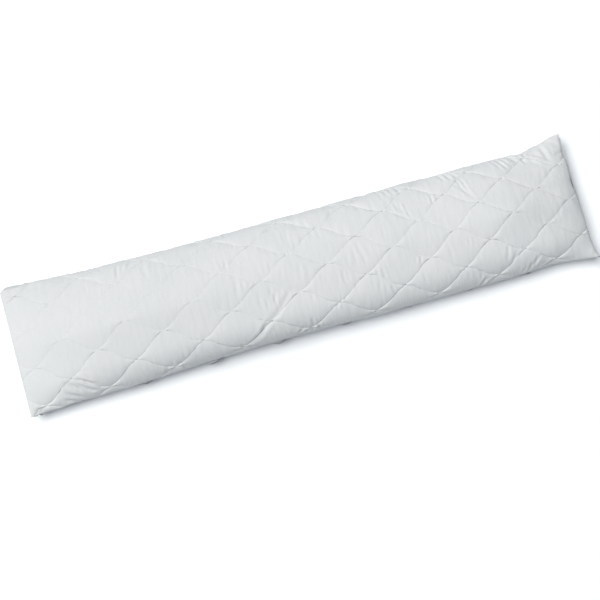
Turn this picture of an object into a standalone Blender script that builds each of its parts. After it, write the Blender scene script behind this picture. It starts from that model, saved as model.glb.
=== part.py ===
"""Body pillow: one long filled tube of cloth, quilted all round in mirrored waves and sewn flat at both ends.

It lies on its back. X runs along its length, Y across it and Z up, in metres, with the underside
resting on z = 0. The tables measure x from halfway between the end seams and y from the line that
joins their middles. The finished pillow is moved so that the middle of its footprint is at the origin.
"""

import math
from collections import namedtuple

import bmesh
import bpy
import numpy as np

# Driving dimensions, in metres.
LENGTH = 1.400  # from end seam to end seam, filled, without the corner that stands out
CROWN_HEIGHT = 0.119  # of the stitch lines along the middle of the top
CHANNEL_LIFT = 0.003  # of the stitch lines on the underside, above the floor
SEAM_THICKNESS = 0.003  # of the cloth sewn together at each end
QUILT_ROWS = 14  # wave lines round the pillow, an even number so that mirrored neighbours close up
LEFT_TIPS = 0.78  # how pointed the tips are at the left end, where 1 is a sharp zigzag
RIGHT_TIPS = 0.92  # and at the right end, where the cloth is drawn tighter
TIP_GAP = 0.11  # clear cloth between two tips that meet, as a share of one row
PUFF = 0.0048  # how far the padding stands proud in the middle of a cell
PUFF_FULLNESS = 0.8  # its form across a cell, where 1 is a parabola and less is fuller

# The outline seen from above and the form of the section, from the left end to the right. near and
# far are the half widths towards -Y and +Y, rim is the height of the widest line, roundness is the
# superellipse exponent of the upper half, where 2 is an ellipse and less is more like a lens, and
# turn is how far the quilting lies round towards +Y, in rows.
Station = namedtuple("Station", "x near far rim roundness turn")
OUTLINE = (
    Station(-0.700, 0.1550, 0.1555, 0.036, 1.50, 0.00),
    Station(-0.694, 0.1555, 0.1620, 0.036, 1.50, 0.00),
    Station(-0.680, 0.1550, 0.1630, 0.036, 1.48, 0.00),
    Station(-0.650, 0.1550, 0.1620, 0.037, 1.45, 0.01),
    Station(-0.590, 0.1550, 0.1570, 0.039, 1.40, 0.02),
    Station(-0.480, 0.1540, 0.1540, 0.041, 1.40, 0.03),
    Station(-0.250, 0.1490, 0.1470, 0.042, 1.62, 0.06),
    Station(0.000, 0.1440, 0.1460, 0.042, 1.80, 0.09),
    Station(0.300, 0.1450, 0.1430, 0.042, 1.70, 0.08),
    Station(0.520, 0.1440, 0.1420, 0.041, 1.42, 0.04),
    Station(0.595, 0.1430, 0.1410, 0.040, 1.40, 0.02),
    Station(0.615, 0.1430, 0.1460, 0.040, 1.40, 0.01),
    Station(0.650, 0.1440, 0.1530, 0.040, 1.45, 0.00),
    Station(0.690, 0.1490, 0.1620, 0.042, 1.50, 0.00),
    Station(0.700, 0.1510, 0.1630, 0.044, 1.50, 0.00),
)
BASE_ROUNDNESS = 3.0  # exponent of the lower half where the pillow's weight flattens it

# Where the tips of the wave lines stand: how many half waves lie between the left-most whole tip and
# each place. Half a wave is 82 mm at the left, and shorter where the cloth is drawn in to the right.
Tip = namedtuple("Tip", "half_waves x")
TIPS = (
    Tip(-0.6, -0.709),
    Tip(0.0, -0.659),
    Tip(3.0, -0.416),
    Tip(6.0, -0.169),
    Tip(9.0, 0.080),
    Tip(12.0, 0.314),
    Tip(15.0, 0.531),
    Tip(17.0, 0.675),
    Tip(17.5, 0.711),
)

# How the filling swells away from each end seam: the length it takes and how round it is, where
# 0.5 is a quarter ellipse and larger values are a flatter wedge.
Swell = namedtuple("Swell", "reach power")
LEFT_TOP = Swell(0.40, 0.66)
RIGHT_TOP = Swell(0.25, 0.56)
UNDERSIDE = Swell(0.11, 0.60)

# Where the end seams leave a straight line: the place of each, its half width along the seam and
# how far it is drawn in, or below zero how far it stands out.
Scallop = namedtuple("Scallop", "x y half_width depth")
SCALLOPS = (
    Scallop(0.700, 0.113, 0.016, 0.006),
    Scallop(0.700, 0.040, 0.034, 0.005),
    Scallop(0.700, -0.160, 0.028, -0.011),
)
SCALLOP_REACH = 0.05  # how far a scallop is felt in from its seam

# The main creases of the upper side: where each starts and ends, its half width and its depth.
Crease = namedtuple("Crease", "x0 y0 x1 y1 half_width depth")
CREASES = (
    Crease(-0.684, -0.152, -0.672, -0.136, 0.010, 0.006),  # pinch beside the near left corner
    Crease(-0.630, -0.134, -0.570, -0.152, 0.009, 0.005),  # along the near edge
    Crease(-0.594, -0.098, -0.540, -0.142, 0.009, 0.005),  # slanting folds in the cell beside it
    Crease(-0.612, -0.112, -0.572, -0.144, 0.008, 0.003),
    Crease(0.002, -0.116, 0.006, -0.146, 0.011, 0.006),  # gather at a tip on the near edge
    Crease(0.446, -0.122, 0.420, -0.148, 0.010, 0.005),  # gather at the near edge, further right
    Crease(0.530, 0.146, 0.562, 0.104, 0.009, 0.004),  # slanting folds at the far edge
    Crease(0.604, 0.146, 0.634, 0.120, 0.009, 0.005),  # root of the raised corner
    Crease(0.640, 0.150, 0.684, 0.128, 0.008, 0.004),
)

# Mesh density.
SUB_ROWS = 4  # strips between two stitch lines
SUB_COLUMNS = 5  # strips in half a wave
END_STRIPS = 7  # closer strips beside each end seam
END_STRIP_LENGTH = 0.045  # that these cover
SECTION_STEPS = 2880  # of the curve that the points of a section are read from, a multiple of 4

COVER_COLOUR = (0.86, 0.88, 0.90, 1.0)
COVER_ROUGHNESS = 0.85


def smooth_through(x, stations, values):
    """Reads a table by monotone cubic interpolation, so that no bulge appears between its rows."""
    steps = np.diff(stations)
    slopes = np.diff(values) / steps
    rising = slopes[:-1] * slopes[1:] > 0
    weight_a = 2 * steps[1:] + steps[:-1]
    weight_b = steps[1:] + 2 * steps[:-1]
    safe = np.where(rising, slopes[:-1], 1.0), np.where(rising, slopes[1:], 1.0)
    inner = np.where(rising, (weight_a + weight_b) / (weight_a / safe[0] + weight_b / safe[1]), 0.0)
    tangents = np.concatenate([[slopes[0]], inner, [slopes[-1]]])
    i = np.clip(np.searchsorted(stations, x) - 1, 0, len(steps) - 1)
    t = np.clip((x - stations[i]) / steps[i], 0.0, 1.0)
    ease = t * t * (3 - 2 * t)
    return (
        values[i] * (1 - ease)
        + values[i + 1] * ease
        + tangents[i] * steps[i] * t * (1 - t) ** 2
        - tangents[i + 1] * steps[i] * t * t * (1 - t)
    )


def outline(x, name):
    """A column of the outline's table, read at x."""
    places = np.array([station.x for station in OUTLINE])
    values = np.array([getattr(station, name) for station in OUTLINE])
    return smooth_through(np.asarray(x, float), places, values)


def swell(distance, kind):
    """How full the pillow is at a distance in from an end seam, from 0 at the seam to 1."""
    part = np.clip(distance / kind.reach, 0.0, 1.0)
    return (1 - (1 - part) ** 2) ** kind.power


def from_left(x):
    return x + LENGTH / 2


def from_right(x):
    return LENGTH / 2 - x


def from_nearest(x):
    return LENGTH / 2 - abs(x)


def crown(x):
    """Height of the middle of the top."""
    rim = outline(x, "rim") + SEAM_THICKNESS / 2
    full = swell(from_left(x), LEFT_TOP) * swell(from_right(x), RIGHT_TOP)
    return rim + (CROWN_HEIGHT - rim) * full


def keel(x):
    """Height of the middle of the underside."""
    rim = outline(x, "rim") - SEAM_THICKNESS / 2
    return rim + (CHANNEL_LIFT - rim) * swell(from_nearest(x), UNDERSIDE)


def base_roundness(x):
    """The underside is flattened where it rests and as round as the top at the end seams."""
    upper = outline(x, "roundness")
    return upper + (BASE_ROUNDNESS - upper) * swell(from_nearest(x), UNDERSIDE)


def section(x, rows):
    """Points of the cross-section at x, for rows counted round it from the middle of the top.

    A row of 0 is the middle of the top and 7 or -7 the middle of the underside. Rows are evenly
    spaced along the cloth, whatever the shape of the section. Beside an end seam, where the
    section is a thin lens, the nearest points move onto its two edges.
    """
    angle = np.linspace(-math.pi, math.pi, SECTION_STEPS + 1)
    upper = np.abs(angle) <= math.pi / 2
    power = 2 / np.where(upper, outline(x, "roundness"), base_roundness(x))
    half_width = np.where(angle < 0, outline(x, "near"), outline(x, "far"))
    rim = outline(x, "rim")
    y = half_width * np.sign(angle) * np.abs(np.sin(angle)) ** power
    height = np.where(upper, crown(x) - rim, keel(x) - rim)
    z = rim + height * np.abs(np.cos(angle)) ** power
    run = np.concatenate([[0.0], np.cumsum(np.hypot(np.diff(y), np.diff(z)))])
    share = (np.asarray(rows) / QUILT_ROWS + 0.5) % 1.0
    middle = run[SECTION_STEPS // 2]
    along = middle + (share - 0.5) * run[-1]
    along %= run[-1]
    if from_nearest(x) < END_STRIP_LENGTH:
        for edge in (run[SECTION_STEPS // 4], run[3 * SECTION_STEPS // 4]):
            along[np.argmin(np.abs(along - edge))] = edge
    return np.interp(along, run, y), np.interp(along, run, z)


def half_waves(x):
    """How many half waves of quilting lie between the left-most whole tip and x."""
    places = np.array([tip.x for tip in TIPS])
    counts = np.array([tip.half_waves for tip in TIPS])
    return smooth_through(np.asarray(x, float), places, counts)


def wave(x):
    """A zigzag with rounded tips: -1 at the left-most tip, then +1, -1 and so on."""
    pointed = LEFT_TIPS + (RIGHT_TIPS - LEFT_TIPS) * from_left(x) / LENGTH
    swing = np.cos(math.pi * half_waves(x))
    return -np.arcsin(pointed * swing) / np.arcsin(pointed)


def quilt_row(x, band, part):
    """The row at a part of the way, 0 to 1, from one wave line to the next."""
    sign = -1 if band % 2 else 1
    middle_to_line = 0.5 * (1 - TIP_GAP) * sign * wave(x)
    middle_of_band = outline(x, "turn") + band - QUILT_ROWS / 2 + 1.0
    return middle_of_band + (part - 0.5) + middle_to_line * (1 - 2 * part)


def puff(x, band, part):
    """How far the padding stands proud of the stitch lines there."""
    sign = -1 if band % 2 else 1
    opening = (1 - (1 - TIP_GAP) * sign * wave(x)) / 2
    across = (4 * part * (1 - part)) ** PUFF_FULLNESS
    return PUFF * across * opening * min(1.0, from_nearest(x) / END_STRIP_LENGTH)


def scalloped(x, y):
    """The x of points at a station once the scallops of the end seams draw them in."""
    moved = np.full_like(y, x)
    for scallop in SCALLOPS:
        across = (y - scallop.y) / scallop.half_width
        felt = max(0.0, 1 - abs(scallop.x - x) / SCALLOP_REACH)
        moved -= np.sign(scallop.x) * scallop.depth * np.exp(-across * across) * felt * felt
    return moved


def creased(y, z, x):
    """How deep the creases of the upper side are at points of the section at x."""
    depth = np.zeros_like(y)
    for crease in CREASES:
        run_x = crease.x1 - crease.x0
        run_y = crease.y1 - crease.y0
        along = ((x - crease.x0) * run_x + (y - crease.y0) * run_y) / (run_x**2 + run_y**2)
        along = np.clip(along, 0.0, 1.0)
        gap = np.hypot(x - crease.x0 - along * run_x, y - crease.y0 - along * run_y)
        depth = np.maximum(depth, crease.depth * np.exp(-((gap / crease.half_width) ** 2)))
    return np.where(z > outline(x, "rim"), depth, 0.0)


def stations():
    """Where the rings of points stand: at even steps of the quilting, and closer beside the ends."""
    inner = LENGTH / 2 - END_STRIP_LENGTH
    between = np.linspace(-inner, inner, SECTION_STEPS)
    steps = SUB_COLUMNS * half_waves(between)
    middle = list(np.interp(range(math.ceil(steps[0]), math.floor(steps[-1]) + 1), steps, between))
    ends = [inner + END_STRIP_LENGTH * (1 - (step / END_STRIPS) ** 2) for step in range(END_STRIPS)]
    return sorted([-x for x in ends] + middle + ends)


def skin():
    """A grid of points over the whole skin: a closed ring of points at each station."""
    rings = []
    relief = []
    for x in stations():
        strips = [(band, sub / SUB_ROWS) for band in range(QUILT_ROWS) for sub in range(SUB_ROWS)]
        rows = [quilt_row(x, band, part) for band, part in strips]
        y, z = section(x, rows)
        rings.append(np.column_stack([scalloped(x, y), y, z]))
        padding = np.array([puff(x, band, part) for band, part in strips])
        relief.append(padding - creased(y, z, x))
    grid = np.array(rings)
    grid += outward(grid) * np.array(relief)[:, :, None]
    grid[:, :, 2] = np.maximum(grid[:, :, 2], 0.0)
    return grid - middle_of_footprint(grid)


def middle_of_footprint(grid):
    lowest = grid.min(axis=(0, 1))
    highest = grid.max(axis=(0, 1))
    return (lowest + highest) / 2 * (1, 1, 0)


def outward(grid):
    """Unit normals of the grid, pointing out."""
    along = np.gradient(grid, axis=0)
    around = np.roll(grid, -1, axis=1) - np.roll(grid, 1, axis=1)
    normal = np.cross(along, around)
    return normal / np.linalg.norm(normal, axis=2, keepdims=True)


def close_end(bm, ring):
    """Fills the flat sewn end with a strip of faces between its upper and lower edges."""
    size = len(ring)
    near_edge = min(range(size), key=lambda j: ring[j].co.y)
    for step in range(size // 2):
        upper = [ring[(near_edge + step) % size], ring[(near_edge + step + 1) % size]]
        lower = [ring[(near_edge - step - 1) % size], ring[(near_edge - step) % size]]
        corners = upper + [vertex for vertex in lower if vertex not in upper]
        bm.faces.new(corners)


def build_pillow():
    grid = skin()
    bm = bmesh.new()
    rings = [[bm.verts.new(point) for point in ring] for ring in grid]
    size = len(rings[0])
    for ring, following in zip(rings, rings[1:]):
        for j in range(size):
            k = (j + 1) % size
            bm.faces.new([ring[j], following[j], following[k], ring[k]])
        for j in range(0, size, SUB_ROWS):
            bm.edges.get([ring[j], following[j]]).smooth = False
    close_end(bm, rings[0])
    close_end(bm, rings[-1])
    bmesh.ops.recalc_face_normals(bm, faces=bm.faces)
    mesh = bpy.data.meshes.new("pillow")
    bm.to_mesh(mesh)
    bm.free()
    mesh.shade_smooth()
    mesh.materials.append(cover_cloth())
    pillow = bpy.data.objects.new("pillow", mesh)
    bpy.context.scene.collection.objects.link(pillow)


def cover_cloth():
    """Plain white brushed cloth."""
    material = bpy.data.materials.new("cover_cloth")
    material.use_nodes = True
    shader = material.node_tree.nodes["Principled BSDF"]
    shader.inputs["Base Color"].default_value = COVER_COLOUR
    shader.inputs["Roughness"].default_value = COVER_ROUGHNESS
    shader.inputs["Metallic"].default_value = 0.0
    return material


def clear_scene():
    for item in list(bpy.data.objects):
        bpy.data.objects.remove(item, do_unlink=True)


clear_scene()
build_pillow()
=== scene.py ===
"""Looks of the body pillow: its quilted cover, simulated as cloth and creased, its thread and the light.

X runs along the pillow, Y across it and Z up, in metres. The cloth is laid out by x and by rows:
row 0 is the middle of the top, 7 or -7 the middle of the underside, and a row is about 48 mm.
"""

import math
from collections import namedtuple

import bpy
import numpy as np
from mathutils import Matrix, Vector


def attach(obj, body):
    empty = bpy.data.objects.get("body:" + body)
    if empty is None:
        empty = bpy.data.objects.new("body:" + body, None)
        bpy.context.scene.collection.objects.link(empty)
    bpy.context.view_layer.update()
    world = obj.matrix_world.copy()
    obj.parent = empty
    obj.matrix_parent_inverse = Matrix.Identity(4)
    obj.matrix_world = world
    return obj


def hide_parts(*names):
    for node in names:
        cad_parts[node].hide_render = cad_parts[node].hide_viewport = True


# ---------------------------------------------------------------- sizes of the solid

LENGTH = 1.400
MIDDLE = (0.0050, 0.0034)  # of the footprint, as the tables measure x and y
CROWN_HEIGHT = 0.119
CHANNEL_LIFT = 0.003
SEAM_THICKNESS = 0.003
QUILT_ROWS = 14
BASE_ROUNDNESS = 3.0
SECTION_STEPS = 2880

Station = namedtuple("Station", "x near far rim roundness turn")
OUTLINE = (
    Station(-0.700, 0.1550, 0.1555, 0.036, 1.50, 0.00),
    Station(-0.694, 0.1555, 0.1620, 0.036, 1.50, 0.00),
    Station(-0.680, 0.1550, 0.1630, 0.036, 1.48, 0.00),
    Station(-0.650, 0.1550, 0.1620, 0.037, 1.45, 0.01),
    Station(-0.590, 0.1550, 0.1570, 0.039, 1.40, 0.02),
    Station(-0.480, 0.1540, 0.1540, 0.041, 1.40, 0.03),
    Station(-0.250, 0.1490, 0.1470, 0.042, 1.62, 0.06),
    Station(0.000, 0.1440, 0.1460, 0.042, 1.80, 0.09),
    Station(0.300, 0.1450, 0.1430, 0.042, 1.70, 0.08),
    Station(0.520, 0.1440, 0.1420, 0.041, 1.42, 0.04),
    Station(0.595, 0.1430, 0.1410, 0.040, 1.40, 0.02),
    Station(0.615, 0.1430, 0.1460, 0.040, 1.40, 0.01),
    Station(0.650, 0.1440, 0.1530, 0.040, 1.45, 0.00),
    Station(0.690, 0.1490, 0.1620, 0.042, 1.50, 0.00),
    Station(0.700, 0.1510, 0.1630, 0.044, 1.50, 0.00),
)

# The rows from 0 to 17 half waves weren't set by hand: a separate script fitted them, by least
# squares, to 18 tips measured on the photograph.
Tip = namedtuple("Tip", "half_waves x")
TIPS = (
    Tip(-0.6, -0.709),
    Tip(0.0, -0.659),
    Tip(3.0, -0.416),
    Tip(6.0, -0.169),
    Tip(9.0, 0.080),
    Tip(12.0, 0.314),
    Tip(15.0, 0.531),
    Tip(17.0, 0.675),
    Tip(17.5, 0.711),
)

Swell = namedtuple("Swell", "reach power")
LEFT_TOP = Swell(0.40, 0.66)
RIGHT_TOP = Swell(0.25, 0.56)
UNDERSIDE = Swell(0.11, 0.60)

Scallop = namedtuple("Scallop", "x y half_width depth")
SCALLOPS = (
    Scallop(0.700, 0.113, 0.016, 0.006),
    Scallop(0.700, 0.040, 0.034, 0.005),
    Scallop(0.700, -0.160, 0.028, -0.011),
)
SCALLOP_REACH = 0.05

# ---------------------------------------------------------------- sizes of the cover's detail

# The stitch lines lie a little off the solid's channels: they all but touch at their tips, each
# one's waves lean to the left of those of the line below it, and the rows crowd towards the middle.
# These values and STRAY were set by hand, from what a separate script printed that traced the lines
# of the photograph and of a render.
STITCH_GAP = 0.055  # between the tips of two lines, in rows, before the rows crowd
LEAN = -0.0018  # metres for each row
LEAN_OF_MIDDLE = -0.0015
CROWDING = -0.025  # rows for each row
TOP_LINES = 3.0  # rows each way in which they lean and crowd, which fades out by twice that

# How pointed the waves are at either end of the pillow, from 0 for a cosine to 1 for a zigzag.
LEFT_TIPS = 0.50
RIGHT_TIPS = 0.78

# Further turn of the quilting round the pillow, in rows.
Stray = namedtuple("Stray", "x rows")
STRAY = (
    Stray(-0.70, -0.03),
    Stray(-0.48, -0.03),
    Stray(-0.21, -0.05),
    Stray(0.06, -0.07),
    Stray(0.31, -0.16),
    Stray(0.53, -0.03),
    Stray(0.70, 0.00),
)

ROW = 0.0475  # cloth between two rows, in metres
STEPS_PER_HALF_WAVE = 28  # rings of points along half a wave
RING_SEARCH = 20001  # places along the pillow among which the rings are found
# Strips of faces across a band, from the middle of the top to the middle of the underside.
STRIPS = (16, 16, 24, 24, 10, 5, 5, 5)
FIRST_STRIP = 0.0018  # width of the strip beside a stitch line, where the band has room

# Cloth simulation: the cover is cut a little larger than the space that its stitches leave it.
CUT_LENGTHWISE = 1.10
CUT_ACROSS = 1.015
CUT_CENTRE = (0.0, 0.0, 0.05)
SEAM_HELD = 0.004  # width of the strip beside an end seam that stays down
START_PROUD = 0.002  # the padding at the start of the simulation
PRESSURE = 70.0
SIMULATED_FRAMES = 6
MOST_PROUD = 0.009  # cap on how far the cover may rise from its stitch lines
MOST_SUNK = 0.003
NECK_WIDTH = 0.003  # where a band is narrower than this, its cloth stays down

# Creases and ridges that show on the top: from x0, row0 to x1, row1, with the half width and depth
# in metres and how far the middle bows to the right of that line. A ridge has a depth below zero.
# Widths, depths and bows were given one by one. The ends were read off the photograph in pixels,
# and a separate script turned them into x and row: it wrote out 111 of the 125 rows, and the last
# ten rows follow what it printed. Four rows, across the middle, were placed without it.
Fold = namedtuple("Fold", "x0 row0 x1 row1 half_width depth bow")
FOLDS = (
    # folds in the cells beside the near left corner
    Fold(-0.587, -2.10, -0.540, -3.05, 0.0042, 0.0055, 0.002),
    Fold(-0.575, -2.10, -0.527, -2.95, 0.0044, 0.0066, 0.002),
    Fold(-0.565, -2.00, -0.515, -2.60, 0.0042, 0.0034, 0.002),
    Fold(-0.600, -2.50, -0.562, -3.15, 0.0044, 0.0048, 0.001),
    Fold(-0.612, -2.85, -0.577, -3.25, 0.0045, 0.0032, 0.000),
    Fold(-0.545, -1.55, -0.512, -2.10, 0.0040, 0.0010, 0.001),
    Fold(-0.527, -1.55, -0.475, -2.30, 0.0045, 0.0010, 0.002),
    # faint folds at the far left
    Fold(-0.407, 3.20, -0.410, 2.20, 0.0035, 0.0018, 0.001),
    Fold(-0.382, 3.25, -0.390, 2.50, 0.0040, -0.0012, 0.000),
    Fold(-0.350, 3.10, -0.335, 1.45, 0.0050, 0.0008, 0.001),
    Fold(-0.287, 2.65, -0.300, 1.75, 0.0045, 0.0008, 0.001),
    Fold(-0.372, 3.55, -0.340, 3.00, 0.0040, 0.0015, 0.000),
    # gathers left of the middle
    Fold(-0.345, -2.65, -0.357, -3.15, 0.0040, 0.0013, 0.000),
    Fold(-0.320, -2.65, -0.305, -3.15, 0.0038, 0.0012, 0.000),
    Fold(-0.335, -2.45, -0.335, -2.85, 0.0034, 0.0010, 0.000),
    Fold(-0.127, 2.40, -0.125, 2.10, 0.0025, 0.0010, 0.000),
    Fold(-0.152, 1.65, -0.157, 1.00, 0.0035, 0.0017, 0.000),
    Fold(-0.165, 1.55, -0.162, 1.10, 0.0030, 0.0008, 0.000),
    Fold(-0.140, 0.45, -0.142, -0.30, 0.0045, 0.0011, 0.001),
    Fold(-0.125, 0.40, -0.127, -0.10, 0.0040, 0.0006, 0.000),
    Fold(-0.110, 0.20, -0.112, -0.05, 0.0024, 0.0010, 0.000),
    Fold(-0.097, 0.20, -0.097, -0.05, 0.0024, 0.0008, 0.000),
    Fold(-0.085, 0.90, -0.082, 0.40, 0.0035, 0.0007, 0.000),
    Fold(-0.070, 0.90, -0.065, 0.45, 0.0040, 0.0007, 0.000),
    Fold(-0.055, 0.85, -0.052, 0.40, 0.0035, 0.0006, 0.000),
    Fold(-0.030, 0.40, -0.032, -0.05, 0.0035, 0.0009, 0.000),
    Fold(-0.097, -0.45, -0.097, -1.35, 0.0045, 0.0010, 0.001),
    Fold(-0.082, -0.75, -0.077, -1.50, 0.0040, 0.0010, 0.001),
    Fold(-0.067, -0.30, -0.065, -0.85, 0.0035, 0.0013, 0.001),
    Fold(-0.057, -0.60, -0.062, -1.20, 0.0035, 0.0022, 0.001),
    Fold(-0.070, -1.00, -0.075, -1.50, 0.0040, 0.0012, 0.000),
    # across the middle
    Fold(0.005, 2.50, 0.003, 1.15, 0.0035, 0.0012, 0.001),
    Fold(-0.007, 2.40, -0.005, 1.35, 0.0035, 0.0009, -0.001),
    Fold(0.013, 0.40, 0.010, -0.30, 0.0040, 0.0012, 0.001),
    Fold(0.033, 0.20, 0.030, -0.30, 0.0035, 0.0006, 0.000),
    Fold(0.048, 2.50, 0.055, 2.15, 0.0030, 0.0008, 0.000),
    Fold(0.060, 2.00, 0.065, 1.35, 0.0035, 0.0009, 0.002),
    Fold(0.075, 2.00, 0.080, 1.25, 0.0035, 0.0009, 0.002),
    Fold(0.020, -1.15, 0.025, -1.60, 0.0035, 0.0006, 0.000),
    Fold(0.065, -0.40, 0.068, -0.90, 0.0035, 0.0005, 0.000),
    Fold(0.008, -2.30, 0.010, -2.80, 0.0034, 0.0030, 0.000),
    Fold(0.000, -2.75, 0.004, -3.35, 0.0045, 0.0020, 0.000),
    Fold(-0.003, -3.00, -0.055, -3.75, 0.0055, 0.0036, 0.000),
    Fold(-0.050, -1.30, -0.150, -2.95, 0.0055, 0.0018, 0.000),
    Fold(-0.015, -0.60, -0.085, -2.05, 0.0055, 0.0014, 0.000),
    Fold(-0.012, -2.65, -0.037, -3.15, 0.0040, 0.0022, -0.001),
    Fold(0.015, -2.70, 0.028, -3.15, 0.0035, 0.0032, 0.000),
    Fold(0.085, -1.50, 0.080, -2.30, 0.0030, -0.0018, 0.001),
    Fold(0.093, -1.60, 0.088, -2.15, 0.0030, -0.0008, 0.000),
    Fold(0.083, -1.60, 0.075, -2.20, 0.0030, 0.0008, 0.000),
    # gathers between the middle and the right
    Fold(0.143, 0.55, 0.145, -0.35, 0.0035, 0.0012, 0.001),
    Fold(0.155, 0.60, 0.170, -0.35, 0.0035, 0.0020, 0.003),
    Fold(0.173, 0.55, 0.183, -0.10, 0.0030, 0.0008, 0.001),
    Fold(0.163, -0.05, 0.163, -0.65, 0.0030, 0.0005, 0.000),
    Fold(0.125, 0.10, 0.125, -0.35, 0.0035, 0.0005, 0.000),
    Fold(0.105, -0.50, 0.110, -1.20, 0.0035, 0.0010, 0.001),
    Fold(0.115, -0.60, 0.118, -1.15, 0.0030, 0.0007, 0.000),
    Fold(0.093, -0.55, 0.093, -1.15, 0.0035, 0.0004, 0.000),
    Fold(0.185, -0.75, 0.185, -1.40, 0.0032, 0.0010, 0.000),
    Fold(0.198, -0.85, 0.200, -1.50, 0.0035, 0.0012, 0.000),
    Fold(0.210, -0.75, 0.210, -1.20, 0.0030, 0.0006, 0.000),
    Fold(0.183, -1.40, 0.180, -2.05, 0.0035, 0.0009, 0.000),
    Fold(0.193, -1.60, 0.193, -2.25, 0.0035, 0.0006, 0.000),
    Fold(0.208, -1.80, 0.213, -2.20, 0.0032, 0.0020, 0.000),
    Fold(0.223, 1.00, 0.223, 0.40, 0.0035, 0.0012, 0.000),
    Fold(0.235, 1.05, 0.233, 0.55, 0.0030, 0.0004, 0.000),
    Fold(0.233, 3.55, 0.248, 2.45, 0.0030, 0.0014, 0.001),
    Fold(0.245, 3.55, 0.265, 2.45, 0.0030, 0.0013, 0.001),
    Fold(0.258, 3.50, 0.275, 2.60, 0.0030, 0.0011, 0.001),
    Fold(0.213, 2.45, 0.215, 1.80, 0.0030, 0.0005, 0.000),
    Fold(0.258, 2.10, 0.263, 1.45, 0.0028, 0.0008, 0.000),
    Fold(0.265, 2.30, 0.275, 1.55, 0.0030, 0.0014, 0.001),
    Fold(0.273, 2.25, 0.285, 1.40, 0.0030, 0.0013, 0.001),
    Fold(0.283, 2.10, 0.290, 1.25, 0.0028, -0.0010, 0.001),
    Fold(0.288, 1.70, 0.298, 1.05, 0.0028, 0.0011, 0.001),
    Fold(0.280, -0.75, 0.278, -1.15, 0.0026, 0.0008, 0.000),
    Fold(0.293, -0.80, 0.290, -1.25, 0.0026, 0.0012, 0.000),
    # folds that slant down from the far side
    Fold(0.278, 3.50, 0.290, 2.60, 0.0035, 0.0022, 0.000),
    Fold(0.353, 2.20, 0.355, 1.50, 0.0030, 0.0022, -0.002),
    Fold(0.385, 3.55, 0.400, 2.60, 0.0035, 0.0026, 0.001),
    Fold(0.400, 3.55, 0.417, 2.55, 0.0040, 0.0045, 0.001),
    Fold(0.413, 3.55, 0.430, 2.65, 0.0035, 0.0038, 0.001),
    Fold(0.415, 2.40, 0.438, 1.60, 0.0028, 0.0018, 0.002),
    Fold(0.423, 2.65, 0.448, 1.25, 0.0032, 0.0029, 0.003),
    Fold(0.433, 2.70, 0.455, 1.15, 0.0032, 0.0026, 0.003),
    Fold(0.440, 2.30, 0.453, 1.40, 0.0028, -0.0016, 0.002),
    Fold(0.518, 3.55, 0.538, 2.45, 0.0032, 0.0022, 0.001),
    Fold(0.528, 3.50, 0.552, 2.40, 0.0036, 0.0042, 0.001),
    Fold(0.540, 3.50, 0.560, 2.60, 0.0032, 0.0029, 0.001),
    Fold(0.562, 3.50, 0.578, 2.75, 0.0032, 0.0019, 0.000),
    Fold(0.583, 3.50, 0.603, 2.50, 0.0038, 0.0035, 0.001),
    Fold(0.593, 3.45, 0.608, 2.80, 0.0032, 0.0027, 0.000),
    # gathers right of the middle
    Fold(0.360, -0.65, 0.365, -1.55, 0.0035, 0.0005, 0.000),
    Fold(0.397, -0.55, 0.403, -1.15, 0.0035, 0.0006, 0.000),
    Fold(0.410, -0.65, 0.410, -1.05, 0.0030, 0.0009, 0.000),
    Fold(0.423, -0.60, 0.425, -0.95, 0.0030, 0.0005, 0.000),
    Fold(0.468, -0.95, 0.473, -1.40, 0.0030, 0.0007, 0.000),
    Fold(0.273, -1.50, 0.278, -2.15, 0.0040, 0.0005, 0.000),
    Fold(0.288, -1.55, 0.293, -2.25, 0.0035, 0.0006, 0.001),
    Fold(0.305, -1.70, 0.310, -2.40, 0.0035, 0.0004, 0.000),
    Fold(0.348, -1.75, 0.355, -2.25, 0.0035, 0.0004, 0.000),
    Fold(0.378, -2.15, 0.375, -2.55, 0.0030, 0.0005, 0.000),
    Fold(0.393, -2.15, 0.390, -2.75, 0.0035, 0.0008, 0.000),
    Fold(0.405, -2.25, 0.410, -2.90, 0.0035, 0.0005, 0.000),
    Fold(0.420, -2.35, 0.420, -2.90, 0.0030, 0.0007, 0.000),
    # folds and gathers at the near edge, towards the right
    Fold(0.435, -2.80, 0.413, -3.45, 0.0040, 0.0028, 0.000),
    Fold(0.448, -2.90, 0.425, -3.55, 0.0040, -0.0020, 0.000),
    Fold(0.488, -1.65, 0.483, -2.20, 0.0028, 0.0008, 0.000),
    Fold(0.498, -1.50, 0.488, -2.30, 0.0034, 0.0020, 0.001),
    Fold(0.515, -1.85, 0.500, -2.40, 0.0032, 0.0015, 0.000),
    Fold(0.535, -2.80, 0.518, -3.30, 0.0035, 0.0011, 0.000),
    Fold(0.548, -2.65, 0.535, -3.20, 0.0038, 0.0024, 0.000),
    Fold(0.562, -2.45, 0.545, -3.05, 0.0038, 0.0030, 0.000),
    Fold(0.570, -2.35, 0.558, -2.75, 0.0030, 0.0008, 0.000),
    Fold(0.598, -2.85, 0.558, -3.40, 0.0045, -0.0015, 0.000),
    # beside the left end, and at a pair of tips on the near side
    Fold(-0.686, -3.16, -0.655, -3.18, 0.0060, 0.0032, 0.000),
    Fold(-0.617, 3.00, -0.575, 2.83, 0.0050, 0.0010, 0.001),
    Fold(-0.169, -2.66, -0.160, -3.12, 0.0045, 0.0017, 0.000),
    Fold(-0.146, -2.66, -0.153, -3.20, 0.0045, 0.0017, 0.000),
    # the raised corner and the right end
    Fold(0.645, 3.42, 0.657, 2.22, 0.0050, 0.0029, 0.002),
    Fold(0.662, 3.48, 0.690, 2.98, 0.0045, 0.0024, 0.000),
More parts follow.
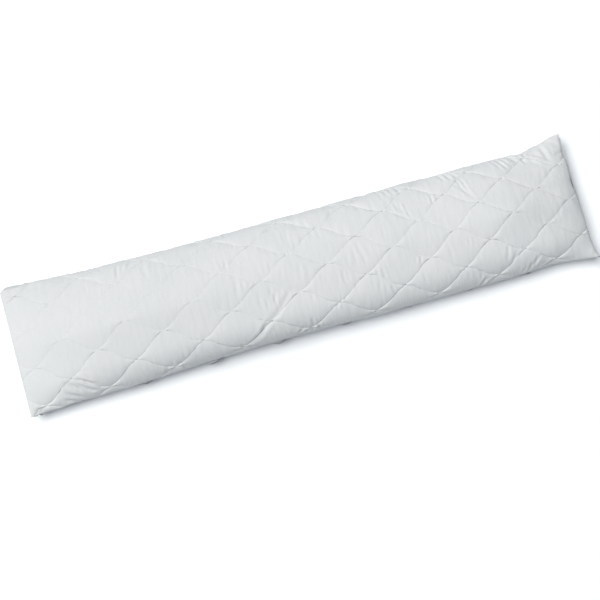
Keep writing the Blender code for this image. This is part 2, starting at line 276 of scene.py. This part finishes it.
    Fold(0.606, 2.98, 0.655, 2.12, 0.0060, -0.0024, 0.001),
    Fold(0.697, 2.60, 0.672, 2.46, 0.0040, 0.0024, 0.000),
    Fold(0.697, 1.02, 0.668, 0.96, 0.0040, 0.0016, 0.000),
    Fold(0.684, -3.04, 0.699, -2.88, 0.0035, -0.0018, 0.000),
)

FOLD_WAVER = 0.014  # length along a fold over which it wavers
FOLD_WAVER_SHARE = 0.35  # how far, as a share of its half width and of its depth
# The soft ridge on either side of a fold, as shares of the fold's depth and half width.
FOLD_SHOULDER_HEIGHT = 0.45
FOLD_SHOULDER_PLACE = 1.9
FOLD_SHOULDER_WIDTH = 0.8

# Share of the padding's relief that shows, towards the left and towards the right. The cover is
# drawn tight over the crown, most of all on the left; along the far side it is slack.
Relief = namedtuple("Relief", "row left right")
RELIEF = (
    Relief(-7.0, 1.00, 1.00),
    Relief(-3.5, 0.90, 0.88),
    Relief(-2.0, 0.66, 0.78),
    Relief(-1.0, 0.38, 0.58),
    Relief(0.0, 0.25, 0.64),
    Relief(1.0, 0.20, 0.84),
    Relief(2.0, 0.35, 1.00),
    Relief(3.0, 0.85, 1.20),
    Relief(4.0, 1.00, 1.15),
    Relief(7.0, 1.00, 1.00),
)
RELIEF_CHANGE = (-0.35, 0.15)  # the x between which one turns into the other

# Where two lines all but touch, the stitches draw the padding down further, except on the far half
# of the pillow, where the slack cloth bridges them.
PINCH_DEPTH = 0.0018
PINCH_REACH = 0.0060  # away from the lines
PINCH_SPREAD = 0.028  # width of the band between the lines at which it has faded
BRIDGE_HEIGHT = 0.0012
BRIDGE_REACH = 0.010
BRIDGE_SPREAD = 0.014
PINCHED_ROW = -0.4  # row up to which they are pinched
BRIDGED_ROW = 0.9  # and from which they are bridged

# The groove that the thread pulls into the padding.
GROOVE_DEPTH = 0.00025
GROOVE_HALF_WIDTH = 0.0017
GROOVE_POWER = 1.5
TAKEN_UP = 0.003  # beside a stitch line, the width over which folds and gathers fade out

# Small gathers beside every stitch line, square to it, and at the end seams.
PUCKER_WAVE = 0.011  # along the line from one gather to the next
PUCKER_DEPTH = 0.0007
PUCKER_PEAK = 0.006  # how far from the line they are deepest
PUCKER_PATCH = 0.10  # over how much cloth they come and go
PUCKER_LEAST = 0.3  # of their depth, between the patches
PUCKER_MORE = 1.4  # and what a patch adds to that
SEAM_GATHER_WAVE = 0.019
SEAM_GATHER_DEPTH = 0.0012
SEAM_GATHER_START = 0.003  # how far from the seam they begin
SEAM_GATHER_REACH = 0.022

# Where the filling stands fuller than the solid, or less full.
Shoulder = namedtuple("Shoulder", "row row_spread x x_spread height")
SHOULDERS = (
    # the near side, fuller on its shoulder and turned under more steeply below
    Shoulder(-2.15, 0.95, 0.00, 9.00, 0.0065),
    Shoulder(-3.85, 0.80, 0.00, 9.00, -0.0055),
    Shoulder(-2.10, 0.85, -0.20, 0.24, 0.0040),
    Shoulder(-3.70, 0.80, -0.20, 0.24, -0.0045),
    # the slope to the right end
    Shoulder(0.00, 5.00, 0.50, 0.09, 0.0030),
    Shoulder(0.80, 2.60, 0.65, 0.09, -0.0060),
    # the near corners
    Shoulder(-2.05, 0.90, 0.65, 0.09, 0.0085),
    Shoulder(-3.60, 0.80, 0.64, 0.09, -0.0045),
    Shoulder(-2.10, 0.90, -0.61, 0.12, 0.0040),
    Shoulder(-3.60, 0.80, -0.61, 0.12, -0.0030),
    # the far side, towards the right
    Shoulder(2.60, 0.90, 0.48, 0.25, 0.0035),
    Shoulder(3.60, 0.90, 0.48, 0.25, 0.0022),
)
LUMP_SIZE = 0.11  # of the loose filling felt through the cover
LUMP_DEPTH = 0.0016
END_FADE = 0.1  # from an end seam, the length over which lumps and shoulders reach their full height

# Noise.
SEED = 7
NOISE_VALUES = 4096
NOISE_SIDE = 256
# How far apart in the noise two folds, two stitch lines and the two end seams are.
WAVER_STEP = 17.3
FADING_STEP = 31.7
PUCKER_STEP = 211.7
SEAM_STEP = 57.0

# The weave, and the thread of the stitches.
WEAVE_PITCH = 0.0004
STITCH_LENGTH = 0.0028
STITCH_PITCH = 0.0034
THREAD_RADIUS = 0.00026
STITCH_SIDES = 4
STITCH_TAPERS = (0.2, 0.8)  # of its length, between which a stitch is at its full thickness
THREAD_LIFT = 0.8  # of its radius, how high its middle lies over the cloth

# ---------------------------------------------------------------- the view, as the camera stood

IMAGE_SIZE = 600  # pixels each way
FOCAL_PIXELS = 1258.0
SENSOR_WIDTH = 36.0
CAMERA_DISTANCE = 3.0
CAMERA_ELEVATION = math.radians(84.0)
CAMERA_ROLL = math.radians(15.57)
CAMERA_TARGET = (-0.0120, -0.0607, 0.05)

KEY_DIRECTION = (-0.33, 0.19, 0.93)  # from the pillow towards the light
KEY_SPREAD = math.radians(45.0)
KEY_STRENGTH = 3.54
KEY_COLOUR = (1.0, 0.982, 0.952)
ROOM_COLOUR = (0.60, 0.83, 1.0)
ROOM_STRENGTH = 0.12
FLOOR_COLOUR = (0.91, 0.935, 0.965, 1.0)
FLOOR_REACH = 6.0
FLOOR_DROP = 0.0005


# ---------------------------------------------------------------- form of the cover


def smooth_through(x, stations, values):
    """Reads a table by monotone cubic interpolation, so that no bulge appears between its rows."""
    steps = np.diff(stations)
    slopes = np.diff(values) / steps
    rising = slopes[:-1] * slopes[1:] > 0
    weight_a = 2 * steps[1:] + steps[:-1]
    weight_b = steps[1:] + 2 * steps[:-1]
    safe = np.where(rising, slopes[:-1], 1.0), np.where(rising, slopes[1:], 1.0)
    inner = np.where(rising, (weight_a + weight_b) / (weight_a / safe[0] + weight_b / safe[1]), 0.0)
    tangents = np.concatenate([[slopes[0]], inner, [slopes[-1]]])
    i = np.clip(np.searchsorted(stations, x) - 1, 0, len(steps) - 1)
    t = np.clip((x - stations[i]) / steps[i], 0.0, 1.0)
    ease = t * t * (3 - 2 * t)
    return (
        values[i] * (1 - ease)
        + values[i + 1] * ease
        + tangents[i] * steps[i] * t * (1 - t) ** 2
        - tangents[i + 1] * steps[i] * t * t * (1 - t)
    )


def outline(x, name):
    places = np.array([station.x for station in OUTLINE])
    values = np.array([getattr(station, name) for station in OUTLINE])
    return smooth_through(np.asarray(x, float), places, values)


def swell(distance, kind):
    part = np.clip(distance / kind.reach, 0.0, 1.0)
    return (1 - (1 - part) ** 2) ** kind.power


def from_left(x):
    return x + LENGTH / 2


def from_right(x):
    return LENGTH / 2 - x


def from_nearest(x):
    return LENGTH / 2 - abs(x)


def crown(x):
    rim = outline(x, "rim") + SEAM_THICKNESS / 2
    full = swell(from_left(x), LEFT_TOP) * swell(from_right(x), RIGHT_TOP)
    return rim + (CROWN_HEIGHT - rim) * full


def keel(x):
    rim = outline(x, "rim") - SEAM_THICKNESS / 2
    return rim + (CHANNEL_LIFT - rim) * swell(from_nearest(x), UNDERSIDE)


def base_roundness(x):
    upper = outline(x, "roundness")
    return upper + (BASE_ROUNDNESS - upper) * swell(from_nearest(x), UNDERSIDE)


def section(x, rows):
    """Points of the cross-section at x, for rows counted round it from the middle of the top."""
    angle = np.linspace(-math.pi, math.pi, SECTION_STEPS + 1)
    upper = np.abs(angle) <= math.pi / 2
    power = 2 / np.where(upper, outline(x, "roundness"), base_roundness(x))
    half_width = np.where(angle < 0, outline(x, "near"), outline(x, "far"))
    rim = outline(x, "rim")
    y = half_width * np.sign(angle) * np.abs(np.sin(angle)) ** power
    height = np.where(upper, crown(x) - rim, keel(x) - rim)
    z = rim + height * np.abs(np.cos(angle)) ** power
    run = np.concatenate([[0.0], np.cumsum(np.hypot(np.diff(y), np.diff(z)))])
    share = (np.asarray(rows) / QUILT_ROWS + 0.5) % 1.0
    along = (run[SECTION_STEPS // 2] + (share - 0.5) * run[-1]) % run[-1]
    return np.interp(along, run, y), np.interp(along, run, z)


def half_waves(x):
    places = np.array([tip.x for tip in TIPS])
    counts = np.array([tip.half_waves for tip in TIPS])
    return smooth_through(np.asarray(x, float), places, counts)


def wave(x):
    """A zigzag with rounded tips: -1 at the left-most tip, then +1, -1 and so on."""
    pointed = LEFT_TIPS + (RIGHT_TIPS - LEFT_TIPS) * from_left(x) / LENGTH
    swing = np.cos(math.pi * half_waves(x))
    return -np.arcsin(pointed * swing) / np.arcsin(pointed)


def line_rows(x, line):
    """Row of a stitch line at each x, for lines counted round from the middle of the underside."""
    level = line - QUILT_ROWS / 2 + 0.5
    on_top = np.clip(2 - abs(level) / TOP_LINES, 0.0, 1.0)
    lean = (LEAN_OF_MIDDLE + LEAN * level) * on_top
    swing = 0.5 * (1 - STITCH_GAP) * wave(x - lean) * (-1) ** line
    turn = outline(x, "turn") + smooth_through(x, *np.array(STRAY).T)
    return turn + level * (1 + CROWDING * on_top) + swing


def scalloped(x, y):
    moved = np.full_like(y, x)
    for scallop in SCALLOPS:
        across = (y - scallop.y) / scallop.half_width
        felt = max(0.0, 1 - abs(scallop.x - x) / SCALLOP_REACH)
        moved -= np.sign(scallop.x) * scallop.depth * np.exp(-across * across) * felt * felt
    return moved


class Cover:
    """The cover as a grid: rings of points along x, each ring running once round the pillow.

    steps and bands say how far across which band of cloth a column is. For every point, x and rows
    are its place on the cloth, parts how far it is across its band, widths the band's width
    there, lower and upper its distances to the stitch lines on either side of it, and to_stitch
    the smaller of those. band_widths has the width of every band at every ring.
    """

    def __init__(self):
        columns = [(band, step) for band in range(QUILT_ROWS) for step in steps_across(band)]
        self.bands = np.array([band for band, step in columns])
        self.steps = np.array([step for band, step in columns])
        strips = np.array([strips_of(band) for band, step in columns])
        rings = ring_places()
        lines = np.column_stack([line_rows(rings, line) for line in range(QUILT_ROWS)])
        following = np.column_stack([lines[:, 1:], lines[:, 0] + QUILT_ROWS])
        lowest, highest = lines[:, self.bands], following[:, self.bands]
        self.widths = (highest - lowest) * ROW
        self.band_widths = (following - lines) * ROW
        narrowing = (1 / strips - FIRST_STRIP / self.widths) / np.sin(2 * math.pi / strips)
        self.parts = self.steps - np.maximum(narrowing, 0.0) * np.sin(2 * math.pi * self.steps)
        self.rows = lowest + self.parts * (highest - lowest)
        self.points = np.zeros(self.rows.shape + (3,))
        for number, x in enumerate(rings):
            y, z = section(x, self.rows[number])
            self.points[number] = np.column_stack([scalloped(x, y), y, z])
        self.rows = (self.rows + QUILT_ROWS / 2) % QUILT_ROWS - QUILT_ROWS / 2
        self.x = np.repeat(rings[:, None], len(columns), axis=1)
        self.lower = self.parts * self.widths
        self.upper = (1 - self.parts) * self.widths
        self.to_stitch = np.minimum(self.lower, self.upper)
        self.on_stitch = np.broadcast_to(self.steps == 0, self.rows.shape)
        self.points[:, :, 2] = np.maximum(self.points[:, :, 2], 0.0)

    def faces(self):
        """Quads between the rings, and a strip of quads that closes each end."""
        count, size = self.rows.shape
        index = np.arange(count * size).reshape(count, size)
        a, b = index[:-1], index[1:]
        quads = np.stack([a, b, np.roll(b, -1, axis=1), np.roll(a, -1, axis=1)], axis=-1)
        faces = quads.reshape(-1, 4).tolist()
        for ring, outwards in ((0, 1), (-1, -1)):
            near_edge = int(np.argmin(self.points[ring, :, 1]))
            corner_of = index[ring]
            for step in range(size // 2):
                upper = [corner_of[(near_edge + step) % size], corner_of[(near_edge + step + 1) % size]]
                lower = [corner_of[(near_edge - step - 1) % size], corner_of[(near_edge - step) % size]]
                corners = upper + [corner for corner in lower if corner not in upper]
                faces.append([int(corner) for corner in corners][::outwards])
        return faces


def strips_of(band):
    return STRIPS[abs(band - QUILT_ROWS // 2 + 1)]


def steps_across(band):
    """Even steps across a band, from 0 at its lower stitch line to 1 at its upper one."""
    strips = strips_of(band)
    return [step / strips for step in range(strips)]


def ring_places():
    """x of every ring, at even steps of the quilting."""
    between = np.linspace(-LENGTH / 2, LENGTH / 2, RING_SEARCH)
    steps = STEPS_PER_HALF_WAVE * half_waves(between)
    count = int(round(steps[-1] - steps[0]))
    return np.interp(np.linspace(steps[0], steps[-1], count + 1), steps, between)


def outward(grid):
    """Unit normals of a grid of points, pointing out."""
    along = np.gradient(grid, axis=0)
    around = np.roll(grid, -1, axis=1) - np.roll(grid, 1, axis=1)
    normal = np.cross(along, around)
    return normal / np.maximum(np.linalg.norm(normal, axis=2, keepdims=True), 1e-12)


# ---------------------------------------------------------------- cloth simulation


def simulate(cover):
    """Lets the padding push the cover out between its stitches, and returns the points."""
    normals = outward(cover.points)
    held = cover.on_stitch | (from_nearest(cover.x) < SEAM_HELD) | (cover.widths < NECK_WIDTH)
    profile = np.sqrt(4 * cover.parts * (1 - cover.parts))
    start = cover.points + normals * np.where(held, 0.0, START_PROUD * profile)[:, :, None]

    mesh = bpy.data.meshes.new("simulated")
    mesh.from_pydata(start.reshape(-1, 3).tolist(), [], cover.faces())
    cloth = bpy.data.objects.new("simulated", mesh)
    bpy.context.scene.collection.objects.link(cloth)
    cloth.shape_key_add(name="start")
    cut = cloth.shape_key_add(name="cut")
    larger = CUT_CENTRE + (cover.points - CUT_CENTRE) * (CUT_LENGTHWISE, CUT_ACROSS, CUT_ACROSS)
    cut.data.foreach_set("co", larger.reshape(-1).astype(np.float32))
    cut.value = 0.0
    stitched = cloth.vertex_groups.new(name="held")
    stitched.add([int(i) for i in np.flatnonzero(held)], 1.0, "REPLACE")

    modifier = cloth.modifiers.new("Cloth", "CLOTH")
    settings = modifier.settings
    settings.vertex_group_mass = stitched.name
    settings.rest_shape_key = cut
    settings.quality = 4
    settings.mass = 0.001
    settings.bending_stiffness = 0.001
    settings.tension_damping = 0.0
    settings.compression_damping = 0.0
    settings.shear_damping = 0.0
    settings.bending_damping = 0.0
    settings.use_pressure = True
    settings.uniform_pressure_force = PRESSURE
    settings.effector_weights.gravity = 0.0
    modifier.collision_settings.use_collision = False
    modifier.point_cache.frame_start = 1
    modifier.point_cache.frame_end = SIMULATED_FRAMES
    for frame_number in range(1, SIMULATED_FRAMES + 1):
        bpy.context.scene.frame_set(frame_number)
    evaluated = cloth.evaluated_get(bpy.context.evaluated_depsgraph_get()).to_mesh()
    found = np.zeros(len(evaluated.vertices) * 3, np.float32)
    evaluated.vertices.foreach_get("co", found)
    bpy.data.objects.remove(cloth, do_unlink=True)
    bpy.data.meshes.remove(mesh)
    bpy.context.scene.frame_set(1)

    moved = found.reshape(cover.points.shape).astype(float) - cover.points
    proud = np.einsum("ijk,ijk->ij", moved, normals)
    slid = moved - normals * proud[:, :, None]
    proud = np.clip(proud, -MOST_SUNK, MOST_PROUD)
    return cover.points + slid + normals * proud[:, :, None]


# ---------------------------------------------------------------- creases, gathers and lumps


def value_noise(place, seed):
    """Smooth noise of one variable, from -1 to 1, with a new value at every whole number."""
    values = np.random.default_rng(seed).uniform(-1.0, 1.0, NOISE_VALUES)
    whole = np.floor(place).astype(int)
    t = place - whole
    ease = t * t * (3 - 2 * t)
    return values[whole % NOISE_VALUES] * (1 - ease) + values[(whole + 1) % NOISE_VALUES] * ease


def value_noise_2d(u, v, seed):
    """Smooth noise of two variables, from -1 to 1."""
    values = np.random.default_rng(seed).uniform(-1.0, 1.0, (NOISE_SIDE, NOISE_SIDE))
    iu, iv = np.floor(u).astype(int), np.floor(v).astype(int)
    tu, tv = u - iu, v - iv
    eu, ev = tu * tu * (3 - 2 * tu), tv * tv * (3 - 2 * tv)
    left, right = iu % NOISE_SIDE, (iu + 1) % NOISE_SIDE
    low, high = iv % NOISE_SIDE, (iv + 1) % NOISE_SIDE
    below = values[left, low] * (1 - eu) + values[right, low] * eu
    above = values[left, high] * (1 - eu) + values[right, high] * eu
    return below * (1 - ev) + above * ev


def folded(cover):
    """How far the listed folds raise or sink each point."""
    total = np.zeros(cover.rows.shape)
    across_cloth = cover.rows * ROW
    for number, fold in enumerate(FOLDS):
        start = np.array([fold.x0, fold.row0 * ROW])
        run = np.array([fold.x1, fold.row1 * ROW]) - start
        length = np.linalg.norm(run)
        run /= length
        dx, dy = cover.x - start[0], across_cloth - start[1]
        along = (dx * run[0] + dy * run[1]) / length
        inside = np.sin(math.pi * np.clip(along, 0.0, 1.0))
        waver = value_noise(along * length / FOLD_WAVER + WAVER_STEP * number, SEED + 20)
        gap = dx * run[1] - dy * run[0] - fold.bow * inside - FOLD_WAVER_SHARE * fold.half_width * waver
        gap = np.abs(gap) / fold.half_width
        trough = np.exp(-gap * gap)
        from_ridge = (gap - FOLD_SHOULDER_PLACE) / FOLD_SHOULDER_WIDTH
        ridges = FOLD_SHOULDER_HEIGHT * np.exp(-(from_ridge**2))
        change = value_noise(along * length / FOLD_WAVER + FADING_STEP * number, SEED + 21)
        fading = inside * (1 + FOLD_WAVER_SHARE * change)
        total += -fold.depth * (trough - ridges) * fading
    return total


def grooved(cover):
    """The narrow groove along each stitch line."""
    return -GROOVE_DEPTH * np.exp(-((cover.to_stitch / GROOVE_HALF_WIDTH) ** GROOVE_POWER))


def puckered(cover):
    """Small gathers beside the stitch lines."""
    total = np.zeros(cover.rows.shape)
    patches = 0.5 + 0.5 * value_noise_2d(cover.x / PUCKER_PATCH, cover.rows * ROW / PUCKER_PATCH, SEED)
    for side, distance in enumerate((cover.lower, cover.upper)):
        line = (cover.bands + side) % QUILT_ROWS
        place = cover.x / PUCKER_WAVE + PUCKER_STEP * line
        reach = distance / PUCKER_PEAK
        fade = reach * np.exp(1 - reach)
        total += fade * value_noise(place, SEED + 1 + side)
    depth = total * PUCKER_DEPTH * (PUCKER_LEAST + PUCKER_MORE * patches)
    return depth * np.clip(cover.widths / ROW, 0.0, 1.0)


def gathered(cover):
    """Gathers that run in from the end seams."""
    distance = from_nearest(cover.x)
    place = cover.rows * ROW / SEAM_GATHER_WAVE + np.where(cover.x < 0, 0.0, SEAM_STEP)
    fade = np.exp(-distance / SEAM_GATHER_REACH) * (1 - np.exp(-distance / SEAM_GATHER_START))
    return SEAM_GATHER_DEPTH * fade * value_noise(place, SEED + 5)


def end_fade(cover):
    """0 at the end seams, rising to 1."""
    return np.clip(from_nearest(cover.x) / END_FADE, 0.0, 1.0)


def lumpy(cover):
    """The lumps of the loose filling."""
    u = cover.x / LUMP_SIZE
    v = cover.points[:, :, 1] / LUMP_SIZE
    w = cover.points[:, :, 2] / LUMP_SIZE
    return LUMP_DEPTH * value_noise_2d(u + w, v - w, SEED + 9) * end_fade(cover)


def shouldered(cover):
    """Where the filling stands fuller or less full than the solid."""
    total = np.zeros(cover.rows.shape)
    for shoulder in SHOULDERS:
        across = (cover.rows - shoulder.row) / shoulder.row_spread
        along = (cover.x - shoulder.x) / shoulder.x_spread
        total += shoulder.height * np.exp(-across * across - along * along)
    return total * end_fade(cover)


def slackness(cover):
    """Share of the padding's relief that shows at each point."""
    rows, left, right = np.array(RELIEF).T
    start, end = RELIEF_CHANGE
    t = np.clip((cover.x - start) / (end - start), 0.0, 1.0)
    ease = t * t * (3 - 2 * t)
    towards_left = smooth_through(cover.rows, rows, left)
    towards_right = smooth_through(cover.rows, rows, right)
    return towards_left * (1 - ease) + towards_right * ease


def beside_tips(cover, reach, spread):
    """1 at the tips where two lines all but touch, fading away from them."""
    below = np.take(cover.band_widths, (cover.bands - 1) % QUILT_ROWS, axis=1)
    above = np.take(cover.band_widths, (cover.bands + 1) % QUILT_ROWS, axis=1)
    total = np.zeros(cover.rows.shape)
    for distance, beyond in ((cover.lower, below), (cover.upper, above)):
        narrow = np.minimum(beyond, cover.widths) / spread
        total = np.maximum(total, np.exp(-distance / reach - narrow * narrow))
    return total


def seamed(cover):
    """What the stitches do to the padding: grooves, pinches and bridges."""
    bridged = np.clip((cover.rows - PINCHED_ROW) / (BRIDGED_ROW - PINCHED_ROW), 0.0, 1.0)
    bridge = beside_tips(cover, BRIDGE_REACH, BRIDGE_SPREAD) * bridged
    pinch = beside_tips(cover, PINCH_REACH, PINCH_SPREAD) * (1 - bridged)
    return grooved(cover) * (1 - bridge) + BRIDGE_HEIGHT * bridge - PINCH_DEPTH * pinch


def finish_cover(cover, points):
    """Adds creases, gathers and lumps, and keeps the pillow on what it lies on."""
    slack = slackness(cover)
    points = cover.points + (points - cover.points) * slack[:, :, None]
    relief = folded(cover) + puckered(cover) * slack + gathered(cover)
    relief *= np.clip(cover.to_stitch / TAKEN_UP, 0.0, 1.0) ** 0.5
    relief += seamed(cover) * slack + lumpy(cover) + shouldered(cover)
    points = points + outward(points) * relief[:, :, None]
    points[:, :, 2] = np.maximum(points[:, :, 2], 0.0)
    points[:, :, :2] -= MIDDLE
    return points


# ---------------------------------------------------------------- pieces


def build_cover(cover, points):
    """The cover's mesh, which also keeps each corner's place on the cloth for the weave."""
    mesh = bpy.data.meshes.new("quilted_cover")
    mesh.from_pydata(points.reshape(-1, 3).tolist(), [], cover.faces())
    mesh.shade_smooth()
    corners = np.zeros(len(mesh.loops), np.int32)
    mesh.loops.foreach_get("vertex_index", corners)
    rows = cover.rows.reshape(-1)[corners]
    faces = np.repeat(np.arange(len(mesh.polygons)), [polygon.loop_total for polygon in mesh.polygons])
    highest = np.full(len(mesh.polygons), -1e9)
    np.maximum.at(highest, faces, rows)
    rows = np.where(highest[faces] - rows > QUILT_ROWS / 2, rows + QUILT_ROWS, rows)
    place = np.column_stack([cover.x.reshape(-1)[corners], rows * ROW, np.zeros(len(corners))])
    layer = mesh.attributes.new("cloth_place", "FLOAT_VECTOR", "CORNER")
    layer.data.foreach_set("vector", place.astype(np.float32).ravel())
    piece = bpy.data.objects.new("quilted_cover", mesh)
    bpy.context.scene.collection.objects.link(piece)
    return piece


def build_thread(cover, points):
    """Stitches along every line: small closed spindles that lie in the groove."""
    normals = outward(points)
    vertices, faces = [], []
    for column in np.flatnonzero(cover.steps == 0):
        line = points[:, column] + normals[:, column] * THREAD_RADIUS * THREAD_LIFT
        run = np.concatenate([[0.0], np.cumsum(np.linalg.norm(np.diff(line, axis=0), axis=1))])
        starts = np.arange(STITCH_PITCH, run[-1] - 2 * STITCH_PITCH, STITCH_PITCH)
        for start in starts:
            begin, end = (
                np.array([np.interp(place, run, line[:, axis]) for axis in range(3)])
                for place in (start, start + STITCH_LENGTH)
            )
            normal = normals[int(np.searchsorted(run, start)), column]
            add_stitch(vertices, faces, begin, end, normal)
    mesh = bpy.data.meshes.new("stitching")
    mesh.from_pydata(vertices, [], faces)
    mesh.shade_smooth()
    piece = bpy.data.objects.new("stitching", mesh)
    bpy.context.scene.collection.objects.link(piece)
    return piece


def add_stitch(vertices, faces, begin, end, normal):
    """One stitch, whose two points dip into the cloth."""
    direction = end - begin
    direction /= np.linalg.norm(direction)
    side = np.cross(direction, normal)
    side /= np.linalg.norm(side)
    up = np.cross(side, direction)
    first = len(vertices)
    vertices.append(tuple(begin - up * THREAD_RADIUS))
    for share in STITCH_TAPERS:
        middle = begin + (end - begin) * share
        for corner in range(STITCH_SIDES):
            angle = 2 * math.pi * (corner + 0.5) / STITCH_SIDES
            offset = side * math.cos(angle) + up * math.sin(angle)
            vertices.append(tuple(middle + offset * THREAD_RADIUS))
    vertices.append(tuple(end - up * THREAD_RADIUS))
    last = len(vertices) - 1
    for corner in range(STITCH_SIDES):
        following = (corner + 1) % STITCH_SIDES
        a, b = first + 1 + corner, first + 1 + following
        faces.append((first, b, a))
        faces.append((a, b, b + STITCH_SIDES, a + STITCH_SIDES))
        faces.append((a + STITCH_SIDES, b + STITCH_SIDES, last))


# ---------------------------------------------------------------- materials


def new_material(name):
    material = bpy.data.materials.new(name)
    material.use_nodes = True
    return material, material.node_tree.nodes["Principled BSDF"]


def cover_material():
    """White brushed microfibre: a fine weave, a nap that scatters light, and small soft creases."""
    material, shader = new_material("brushed_microfibre")
    nodes, links = material.node_tree.nodes, material.node_tree.links
    shader.inputs["Roughness"].default_value = 0.88
    shader.inputs["Specular IOR Level"].default_value = 0.25
    shader.inputs["Sheen Weight"].default_value = 0.12
    shader.inputs["Sheen Roughness"].default_value = 0.5
    place = nodes.new("ShaderNodeAttribute")
    place.attribute_name = "cloth_place"

    tone = nodes.new("ShaderNodeTexNoise")
    tone.inputs["Scale"].default_value = 9.0
    tone.inputs["Detail"].default_value = 5.0
    links.new(place.outputs["Vector"], tone.inputs["Vector"])
    colour = nodes.new("ShaderNodeValToRGB")
    colour.color_ramp.elements[0].position = 0.3
    colour.color_ramp.elements[0].color = (0.644, 0.659, 0.675, 1.0)
    colour.color_ramp.elements[1].position = 0.7
    colour.color_ramp.elements[1].color = (0.674, 0.683, 0.693, 1.0)
    links.new(tone.outputs["Fac"], colour.inputs["Fac"])
    links.new(colour.outputs["Color"], shader.inputs["Base Color"])

    weave_bump = woven(nodes, links, place)
    creases = nodes.new("ShaderNodeTexNoise")
    creases.inputs["Scale"].default_value = 1.0
    creases.inputs["Detail"].default_value = 3.0
    stretch = nodes.new("ShaderNodeMapping")
    stretch.inputs["Scale"].default_value = (85.0, 22.0, 1.0)
    links.new(place.outputs["Vector"], stretch.inputs["Vector"])
    links.new(stretch.outputs["Vector"], creases.inputs["Vector"])
    crease_bump = nodes.new("ShaderNodeBump")
    crease_bump.inputs["Strength"].default_value = 0.5
    crease_bump.inputs["Distance"].default_value = 0.003
    links.new(creases.outputs["Fac"], crease_bump.inputs["Height"])
    links.new(weave_bump.outputs["Normal"], crease_bump.inputs["Normal"])
    links.new(crease_bump.outputs["Normal"], shader.inputs["Normal"])
    return material


def woven(nodes, links, place):
    """Bump of a plain weave."""
    heights = []
    for direction in ("X", "Y"):
        threads = nodes.new("ShaderNodeTexWave")
        threads.bands_direction = direction
        threads.inputs["Scale"].default_value = 2 * math.pi / (20 * WEAVE_PITCH)
        threads.inputs["Distortion"].default_value = 0.6
        threads.inputs["Detail"].default_value = 1.0
        links.new(place.outputs["Vector"], threads.inputs["Vector"])
        heights.append(threads)
    woven_height = nodes.new("ShaderNodeMath")
    woven_height.operation = "MULTIPLY"
    links.new(heights[0].outputs["Fac"], woven_height.inputs[0])
    links.new(heights[1].outputs["Fac"], woven_height.inputs[1])
    bump = nodes.new("ShaderNodeBump")
    bump.inputs["Strength"].default_value = 0.35
    bump.inputs["Distance"].default_value = 0.00008
    links.new(woven_height.outputs["Value"], bump.inputs["Height"])
    return bump


def thread_material():
    material, shader = new_material("white_thread")
    shader.inputs["Base Color"].default_value = (0.80, 0.815, 0.83, 1.0)
    shader.inputs["Roughness"].default_value = 0.6
    shader.inputs["Sheen Weight"].default_value = 0.1
    return material


def floor_material():
    material, shader = new_material("pale_floor")
    shader.inputs["Base Color"].default_value = FLOOR_COLOUR
    shader.inputs["Roughness"].default_value = 0.9
    shader.inputs["Specular IOR Level"].default_value = 0.2
    return material


# ---------------------------------------------------------------- camera, floor and light


def add_camera():
    back = Vector((0.0, -math.cos(CAMERA_ELEVATION), math.sin(CAMERA_ELEVATION)))
    right = Vector((1.0, 0.0, 0.0))
    up = Vector((0.0, math.sin(CAMERA_ELEVATION), math.cos(CAMERA_ELEVATION)))
    rolled_right = right * math.cos(CAMERA_ROLL) - up * math.sin(CAMERA_ROLL)
    rolled_up = right * math.sin(CAMERA_ROLL) + up * math.cos(CAMERA_ROLL)
    data = bpy.data.cameras.new("camera")
    data.sensor_width = SENSOR_WIDTH
    data.lens = FOCAL_PIXELS * SENSOR_WIDTH / IMAGE_SIZE
    camera = bpy.data.objects.new("camera", data)
    bpy.context.scene.collection.objects.link(camera)
    placed = Matrix((rolled_right, rolled_up, back)).transposed().to_4x4()
    placed.translation = Vector(CAMERA_TARGET) + back * CAMERA_DISTANCE
    camera.matrix_world = placed
    bpy.context.scene.camera = camera


def add_floor():
    corners = [(x * FLOOR_REACH, y * FLOOR_REACH, 0) for x, y in ((-1, -1), (1, -1), (1, 1), (-1, 1))]
    mesh = bpy.data.meshes.new("floor")
    mesh.from_pydata(corners, [], [(0, 1, 2, 3)])
    mesh.materials.append(floor_material())
    floor = bpy.data.objects.new("floor", mesh)
    floor.location.z = -FLOOR_DROP
    bpy.context.scene.collection.objects.link(floor)


def add_key_light():
    """A broad soft light from beyond the far left corner."""
    data = bpy.data.lights.new("key", "SUN")
    data.energy = KEY_STRENGTH
    data.angle = KEY_SPREAD
    data.color = KEY_COLOUR
    light = bpy.data.objects.new("key", data)
    light.rotation_euler = Vector(KEY_DIRECTION).to_track_quat("Z", "Y").to_euler()
    bpy.context.scene.collection.objects.link(light)


def add_world():
    world = bpy.data.worlds.new("soft_room")
    world.use_nodes = True
    background = world.node_tree.nodes["Background"]
    background.inputs["Color"].default_value = ROOM_COLOUR + (1.0,)
    background.inputs["Strength"].default_value = ROOM_STRENGTH
    bpy.context.scene.world = world


# ---------------------------------------------------------------- the scene

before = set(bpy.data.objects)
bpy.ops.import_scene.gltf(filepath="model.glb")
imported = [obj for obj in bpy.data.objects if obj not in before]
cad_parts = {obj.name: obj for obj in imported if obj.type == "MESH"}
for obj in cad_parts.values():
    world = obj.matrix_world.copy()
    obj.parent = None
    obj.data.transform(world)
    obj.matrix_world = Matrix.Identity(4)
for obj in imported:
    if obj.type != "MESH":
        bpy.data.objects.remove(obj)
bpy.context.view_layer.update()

add_camera()
add_floor()
add_world()
add_key_light()
bpy.context.scene.view_settings.view_transform = "Standard"

layout = Cover()
padding = simulate(layout)
skin = finish_cover(layout, padding)
pillow = build_cover(layout, skin)
pillow.data.materials.append(cover_material())
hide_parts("pillow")
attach(pillow, "root")

stitching = build_thread(layout, skin)
stitching.data.materials.append(thread_material())
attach(stitching, "root")
